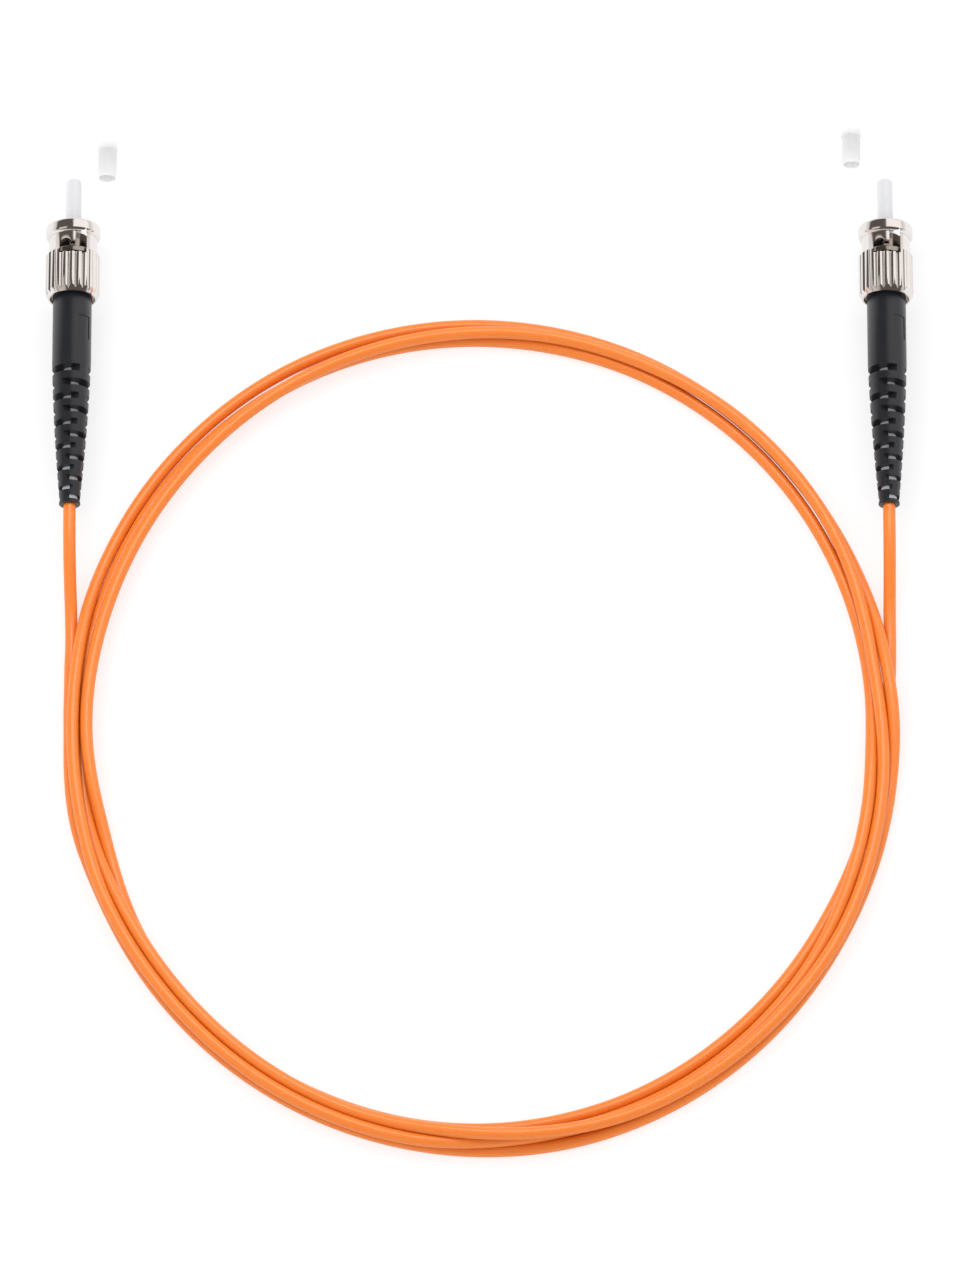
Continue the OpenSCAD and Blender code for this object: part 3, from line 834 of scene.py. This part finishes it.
def slot_width(level):
    return FRONT_SLOT_W - WIDTH_LOSS * level / (SLOT_LEVELS - 1)


def slot_cutters():
    """Two opposite boxes at every level, all in one cutter."""
    cutter = bmesh.new()
    for level in range(SLOT_LEVELS):
        for flip in (0, 180):
            box = bmesh.ops.create_cube(cutter, size=1)["verts"]
            size = (CUT_DEPTH, CUT_WIDTH, slot_width(level))
            middle = (SLOT_FLOOR + CUT_DEPTH / 2, 0, slot_place(level))
            bmesh.ops.scale(cutter, vec=size, verts=box)
            bmesh.ops.translate(cutter, vec=middle, verts=box)
            clock = (-SLOT_CLOCK if level % 2 == 0 else SLOT_CLOCK) + flip - 90
            turn = Matrix.Rotation(math.radians(clock), 3, "Z")
            bmesh.ops.rotate(cutter, cent=(0, 0, 0), matrix=turn, verts=box)
    return cutter


# %% [markdown]
# Makers mould a mark into a shallow field on the boot's plain front. Here the
# field stays blank. It follows the round surface, so its cutter is a turned
# skin, of which a box keeps only the part that is wanted.

# %% Blank field
FIELD_LOW, FIELD_HIGH = 28.15, 32.05
FIELD_W, FIELD_DEPTH = 2.3, 0.1
FIELD_CLOCK = 43


def field_cutter():
    inner, outer = BOOT_R - FIELD_DEPTH, 4.5
    skin = spin_outline(
        [(inner, FIELD_LOW), (outer, FIELD_LOW), (outer, FIELD_HIGH), (inner, FIELD_HIGH)]
    )
    window = bmesh.new()
    bmesh.ops.create_cube(window, size=1)
    bmesh.ops.scale(window, vec=(6, FIELD_W, 8), verts=window.verts)
    bmesh.ops.translate(window, vec=(3, 0, 30), verts=window.verts)
    at_clock(window, FIELD_CLOCK)
    return boolean(skin, window, "INTERSECT")


# %% [markdown]
# Moulded rubber has no sharp edges. After the Booleans a Bevel modifier
# softens them all, and as it only takes edges above an angle, the round skin
# stays as it is. The rubber itself is near black, with a low sheen.

# %% The finished boot
EDGE_WIDTH = 0.06
EDGE_ANGLE = math.radians(40)

rubber = finish(
    "boot_rubber", (0.011, 0.0125, 0.017), (0.018, 0.02, 0.026), 900, (0.3, 0.42), 0.015
)
boot = boolean(boolean(boot_body(), slot_cutters()), field_cutter())
boots = fit_on_both("boot_skin", "boot", boot, rubber)
for piece in boots:
    soft = piece.modifiers.new("moulded_edges", "BEVEL")
    soft.width, soft.segments = EDGE_WIDTH * MM, 2
    soft.limit_method, soft.angle_limit = "ANGLE", EDGE_ANGLE

# %% [markdown]
# ## The barrel
#
# The barrel holds everything together and shows through the bayonet slots: a
# flange that the spring pushes on, a nose round the ferrule and a small key on
# top. Behind, a clip's groove and the crimp neck are hidden in the nut and the
# boot. The lathe turns it in one, as a lathe does the real one, and the key is
# joined on by a Boolean.

# %% Barrel
CRIMP_NECK_R, CRIMP_NECK_REAR, CRIMP_NECK_FRONT = 1.7, 29.92, 36.52
GROOVE_R, GROOVE_REAR, GROOVE_FRONT = 1.9, 37.02, 37.5
SEAT_R, SEAT_REAR = 1.07, FERRULE_REAR - 0.1
FLANGE_EDGE, NOSE_EDGE = 0.1, 0.2
KEY_SIZE = (1.5, 1.1, 2.4)
KEY_TOP, KEY_MIDDLE = 3.3, FLANGE_FRONT + 1.0


def barrel_outline():
    outline = [(BUFFER_R, CRIMP_NECK_REAR), (CRIMP_NECK_R, CRIMP_NECK_REAR)]
    outline += [(CRIMP_NECK_R, CRIMP_NECK_FRONT), (BARREL_R, CRIMP_NECK_FRONT)]
    outline += [(BARREL_R, GROOVE_REAR), (GROOVE_R, GROOVE_REAR)]
    outline += [(GROOVE_R, GROOVE_FRONT), (BARREL_R, GROOVE_FRONT)]
    outline += [(BARREL_R, FLANGE_REAR), (FLANGE_R - 0.05, FLANGE_REAR)]
    outline += [(FLANGE_R, FLANGE_REAR + 0.05), (FLANGE_R, FLANGE_FRONT - FLANGE_EDGE)]
    outline += [(FLANGE_R - FLANGE_EDGE, FLANGE_FRONT), (NOSE_R, FLANGE_FRONT)]
    outline += [(NOSE_R, BARREL_FRONT - NOSE_EDGE), (NOSE_R - NOSE_EDGE, BARREL_FRONT)]
    return outline + [(SEAT_R, BARREL_FRONT), (SEAT_R, SEAT_REAR), (BUFFER_R, SEAT_REAR)]


def barrel_shape():
    key = bmesh.new()
    bmesh.ops.create_cube(key, size=1)
    bmesh.ops.scale(key, vec=KEY_SIZE, verts=key.verts)
    bmesh.ops.translate(key, vec=(KEY_TOP - KEY_SIZE[0] / 2, 0, KEY_MIDDLE), verts=key.verts)
    bmesh.ops.bevel(
        key, geom=key.edges[:], offset=0.1, segments=2, profile=0.5, affect="EDGES", material=-1
    )
    at_clock(key, 0)
    return boolean(spin_outline(barrel_outline()), key, "UNION")


# The barrel's nickel is painted darker, as painted shade: it sits deep in the nut and shows only
# through the slots.
barrel_nickel = finish(
    "barrel_nickel", (0.32, 0.28, 0.25), (0.42, 0.38, 0.35), 900, (0.14, 0.22), 0.004,
    Metallic=1.0,
)
fit_on_both("barrel_core", "barrel", barrel_shape(), barrel_nickel)


# %% [markdown]
# ## The spring and the washer
#
# The spring sits between the barrel's flange and a washer inside the nut, and
# shortens when the nut is pushed forwards. A curve along a helix could draw
# it, but a disc swept by the spin operator is a closed mesh at once, with
# closed end turns that lie flat.

# %% Spring and washer
WIRE_R, SPRING_R = 0.225, 2.875
SPRING_TURNS, TURN_STEPS, WIRE_SIDES = 5, 32, 12
SPRING_GAP = 0.02


def spring_shape():
    """A disc swept up in three stretches: a closed turn, open turns, a closed turn."""
    low, high = WASHER_FRONT + WIRE_R + SPRING_GAP, FLANGE_REAR - WIRE_R - SPRING_GAP
    open_turns, closed_rise = SPRING_TURNS - 2, 2 * WIRE_R
    open_rise = (high - low - 4 * WIRE_R) / open_turns
    bm = bmesh.new()
    disc = bmesh.ops.create_circle(bm, cap_ends=True, segments=WIRE_SIDES, radius=WIRE_R)["verts"]
    upright = Matrix.Rotation(math.pi / 2, 3, "X")
    bmesh.ops.rotate(bm, cent=(0, 0, 0), matrix=upright, verts=disc)
    bmesh.ops.translate(bm, vec=(SPRING_R, 0, low), verts=disc)
    geom = bm.verts[:] + bm.edges[:] + bm.faces[:]
    for turns, rise in ((1, closed_rise), (open_turns, open_rise), (1, closed_rise)):
        geom = bmesh.ops.spin(
            bm, geom=geom, cent=(0, 0, 0), axis=(0, 0, 1), angle=2 * math.pi * turns,
            dvec=(0, 0, rise / TURN_STEPS), steps=TURN_STEPS * turns,
        )["geom_last"]
    bmesh.ops.remove_doubles(bm, verts=bm.verts, dist=WELD)
    inner = [f for f in bm.faces if len(f.verts) == WIRE_SIDES]
    bmesh.ops.delete(bm, geom=inner, context="FACES_ONLY")
    bmesh.ops.holes_fill(bm, edges=[e for e in bm.edges if e.is_boundary], sides=0)
    bmesh.ops.recalc_face_normals(bm, faces=bm.faces)
    return bm


spring_steel = finish(
    "spring_steel", (0.36, 0.35, 0.34), (0.46, 0.45, 0.43), 900, (0.22, 0.34), 0.003,
    Metallic=1.0,
)
washer_steel = finish(
    "washer_steel", (0.5, 0.49, 0.47), (0.6, 0.58, 0.56), 900, (0.2, 0.32), Metallic=1.0
)
springs = fit_on_both("coil_spring", "spring", spring_shape(), spring_steel)
for side, piece in zip(SIDES, springs):
    place = PLACES[side] @ Vector((0, 0, FLANGE_REAR))
    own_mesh(piece)
rear_side = [(SHOULDER_BORE_R, WASHER_REAR), (FLANGE_R, WASHER_REAR)]
front_side = [(FLANGE_R, WASHER_FRONT), (SHOULDER_BORE_R, WASHER_FRONT)]
washer = spin_outline(rear_side + front_side)
fit_on_both("washer_ring", "thrust_washer", washer, washer_steel, "{side}_slider")

# %% [markdown]
# ## The liner
#
# A pale tube runs through the boot's tail and shows at the bottom of its
# slots. A cylinder would look the same there, but the jacket runs through it,
# so it is a real tube.

# %% Liner
LINER_BORE_R, LINER_R, LINER_REAR = 1.02, 1.22, 0.52

liner_rear = [(LINER_BORE_R, LINER_REAR), (LINER_R, LINER_REAR)]
liner_front = [(LINER_R, LINER_FRONT), (LINER_BORE_R, LINER_FRONT)]
liner = spin_outline(liner_rear + liner_front)
pale_liner = finish(
    "pale_liner", (0.5, 0.51, 0.54), (0.6, 0.61, 0.64), 900, (0.35, 0.5), 0.004
)
fit_on_both("liner_tube", "liner", liner, pale_liner)

# %% [markdown]
# ## The dust caps
#
# A dust cap is a short milky tube with a slightly thicker closed head. Both
# lie on the table, mouth towards the connectors. One outline gives bore, skirt
# and head. Milky plastic could be made see-through, but scattering under the
# surface gives its soft look with less noise.

# %% Dust caps
CAP_LEN, CAP_BORE_LEN = 6.4, 5.5
CAP_BORE_R, SKIRT_R, HEAD_R = 1.27, 1.5, 1.65
HEAD_EDGE, LIP = 0.2, 0.05
CAP_PLACES = {side: lying_place(f"{side}_dust_cap", f"{side}_dust_cap") for side in SIDES}


def cap_shape():
    outline = [(CAP_BORE_R, LIP), (CAP_BORE_R + LIP, 0), (SKIRT_R - LIP, 0), (SKIRT_R, LIP)]
    outline += [(SKIRT_R, 4.75), (SKIRT_R + 0.03, 4.82), (HEAD_R - 0.05, 4.9), (HEAD_R, 4.95)]
    outline += arc((HEAD_R - HEAD_EDGE, CAP_LEN - HEAD_EDGE), HEAD_EDGE, 0, 90, 5)
    return spin_outline(outline + [(0, CAP_LEN), (0, CAP_BORE_LEN), (CAP_BORE_R, CAP_BORE_LEN)])


polythene = finish(
    "cap_polythene", (0.95, 0.955, 0.965), (0.98, 0.985, 0.99), 400, (0.35, 0.45),
    Subsurface_Weight=0.6, Subsurface_Scale=0.002, Subsurface_Radius=(1, 1, 1),
)
fit_on_both(
    "cap_shell", "dust_cap", cap_shape(), polythene, places=CAP_PLACES
)

# %% [markdown]
# ## The pieces inside
#
# The clip, the crimp sleeve, the yarn, the fibre and the jacket sit deep in a
# connector. They could be drawn again, but nothing of them shows from outside
# and their CAD shapes are right as they are, so they only get a finish.

# %% Finishes of the inner pieces
clip_steel = finish(
    "clip_steel", (0.3, 0.29, 0.28), (0.38, 0.37, 0.36), 900, (0.25, 0.4), Metallic=1.0
)
crimp_metal = finish(
    "crimp_metal", (0.6, 0.58, 0.55), (0.7, 0.68, 0.66), 900, (0.3, 0.45), 0.01, Metallic=1.0
)
aramid_yarn = finish(
    "aramid_yarn", (0.6, 0.42, 0.08), (0.8, 0.62, 0.2), 1500, (0.55, 0.7), 0.05,
    stretch=(1, 0.1, 1), Sheen_Weight=0.3,
)
buffer_coating = finish(
    "buffer_coating", (0.78, 0.76, 0.7), (0.84, 0.82, 0.77), 700, (0.35, 0.5)
)
INNER = {
    "retaining_clip": clip_steel, "crimp_sleeve": crimp_metal, "yarn": aramid_yarn,
    "fibre": buffer_coating, "jacket": orange_jacket,
}
for kind, material in INNER.items():
    for side in SIDES:
        inner_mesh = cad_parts[f"{side}_{kind}"].data
        inner_mesh.materials.clear()
        inner_mesh.materials.append(material)
